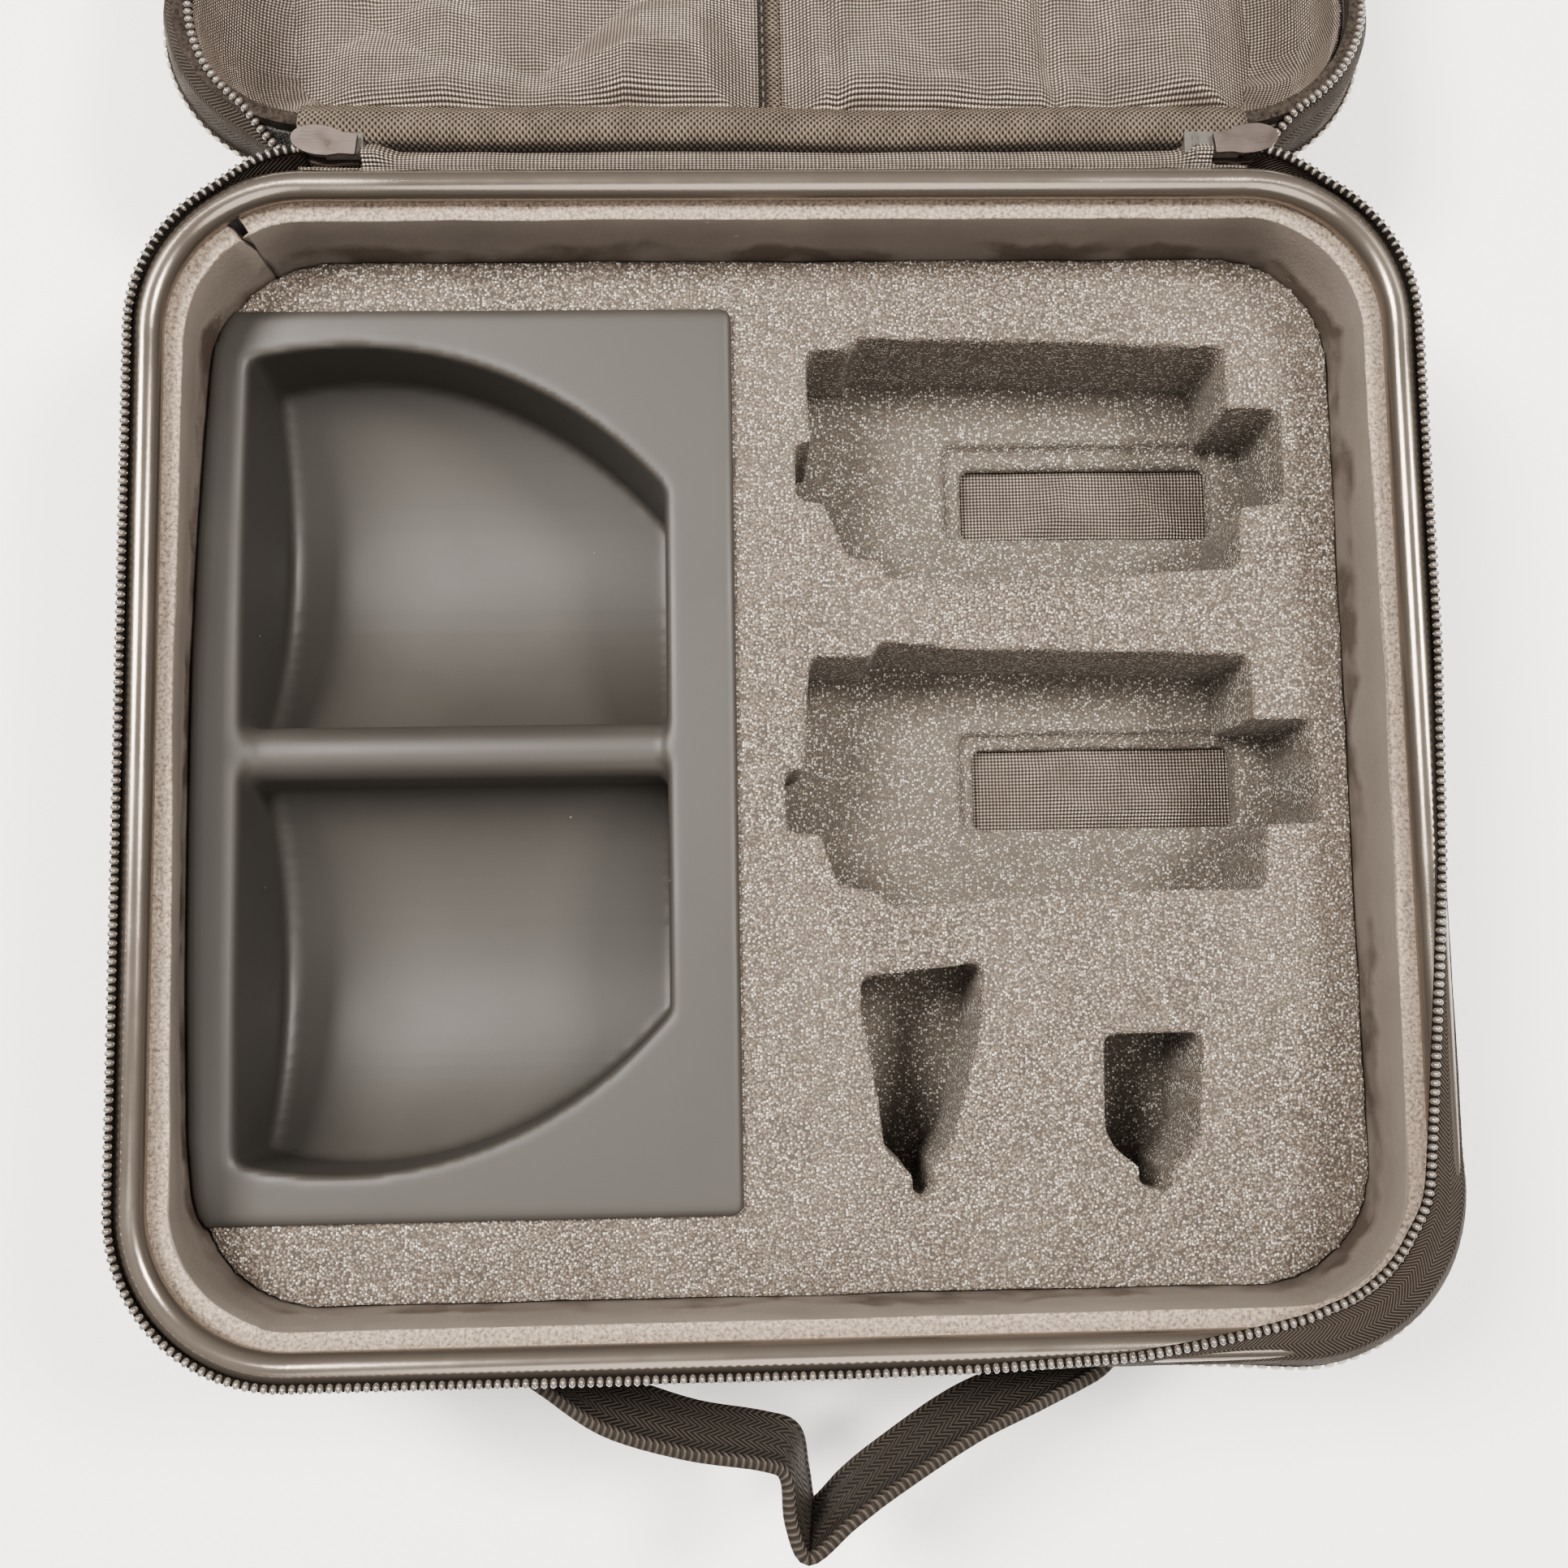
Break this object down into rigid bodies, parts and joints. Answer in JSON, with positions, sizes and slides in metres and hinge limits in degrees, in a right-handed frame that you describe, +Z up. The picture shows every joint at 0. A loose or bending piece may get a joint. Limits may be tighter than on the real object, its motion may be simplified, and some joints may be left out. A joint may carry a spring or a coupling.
{
  "type": "drone carrying case",
  "caption": "Soft-shell zip case with a moulded base, hinged lid, cut foam with tray and pockets, and a webbing carry handle.",
  "frame": {"origin": "centre of the base's flat underside", "axes": "+X to the right seen from the handle side, +Y from the handle side to the hinge at the back, +Z up"},
  "size_m": [0.3032, 0.6128, 0.0813],
  "materials": {
    "shell_cloth": "woven nylon laminated to moulded foam board",
    "rim_trim": "satin metallic grey trim",
    "liner_foam": "felt-like cut foam",
    "lining_cloth": "shiny grey woven nylon",
    "block_foam": "open-cell foam with glinting cell walls",
    "tray_plastic": "soft-touch matte",
    "zip_tape": "herringbone twill tape",
    "zip_coil": "shiny nylon coil",
    "piping": "stitched cord edge",
    "webbing": "ribbed polyester webbing",
    "binding": "coarse ribbed binding tape",
    "slider_metal": "satin grey lacquered zinc"
  },
  "bodies": {
    "base": {"base_shell": "shell_cloth", "base_rim": "rim_trim", "base_liner": "liner_foam", "base_floor_lining": "lining_cloth", "foam_lower": "block_foam", "foam_upper": "block_foam", "drone_tray": "tray_plastic", "base_zip_tape": "zip_tape", "base_zip_coil": "zip_coil", "base_zip_piping": "piping", "hinge_tape_base": "lining_cloth", "handle_anchor_left": "webbing", "handle_anchor_right": "webbing"},
    "lid": {"lid_shell": "shell_cloth", "lid_lining": "lining_cloth", "lid_panel_left": "lining_cloth", "lid_panel_right": "lining_cloth", "lid_panel_binding": "binding", "lid_edge_trim": "binding", "lid_hinge_binding": "binding", "lid_zip_tape": "zip_tape", "lid_zip_coil": "zip_coil", "lid_zip_piping": "piping", "hinge_tape_lid": "lining_cloth"},
    "fold": {"hinge_panel": "lining_cloth", "zip_end_left": "zip_coil", "zip_end_right": "zip_coil"},
    "slider_left": {"slider_left": "slider_metal"},
    "slider_right": {"slider_right": "slider_metal"},
    "pull_left": {"pull_tab_left": "slider_metal"},
    "pull_right": {"pull_tab_right": "slider_metal"},
    "handle": {"handle_strap": "webbing"}
  },
  "joints": [
    {"name": "lid_hinge", "type": "hinge", "parent": "base", "child": "lid", "pos_m": [0, 0.145, 0.075], "axis": [1, 0, 0], "range_deg": [0, 185.5]},
    {"name": "hinge_fold", "type": "hinge", "parent": "base", "child": "fold", "pos_m": [0, 0.145, 0.075], "axis": [1, 0, 0], "range_deg": [0, 92.75]},
    {"name": "slider_left_slide", "type": "slide", "parent": "fold", "child": "slider_left", "axis": [-0.9914, 0.1305, 0], "range_m": [0, 0.004]},
    {"name": "slider_right_slide", "type": "slide", "parent": "fold", "child": "slider_right", "axis": [0.9914, 0.1305, 0], "range_m": [0, 0.004]},
    {"name": "pull_left_swing", "type": "hinge", "parent": "slider_left", "child": "pull_left", "pos_m": [-0.1064, 0.145, 0.0684], "axis": [0.1305, 0.9914, 0], "range_deg": [-75, 75]},
    {"name": "pull_right_swing", "type": "hinge", "parent": "slider_right", "child": "pull_right", "pos_m": [0.112, 0.145, 0.0684], "axis": [-0.1305, 0.9914, 0], "range_deg": [-75, 75]},
    {"name": "handle_swing", "type": "hinge", "parent": "base", "child": "handle", "pos_m": [0, -0.1395, 0.047], "axis": [1, 0, 0], "range_deg": [-35, 45]}
  ],
  "couplings": [
    {"joint": "hinge_fold", "follows": "lid_hinge", "ratio": 0.5}
  ]
}
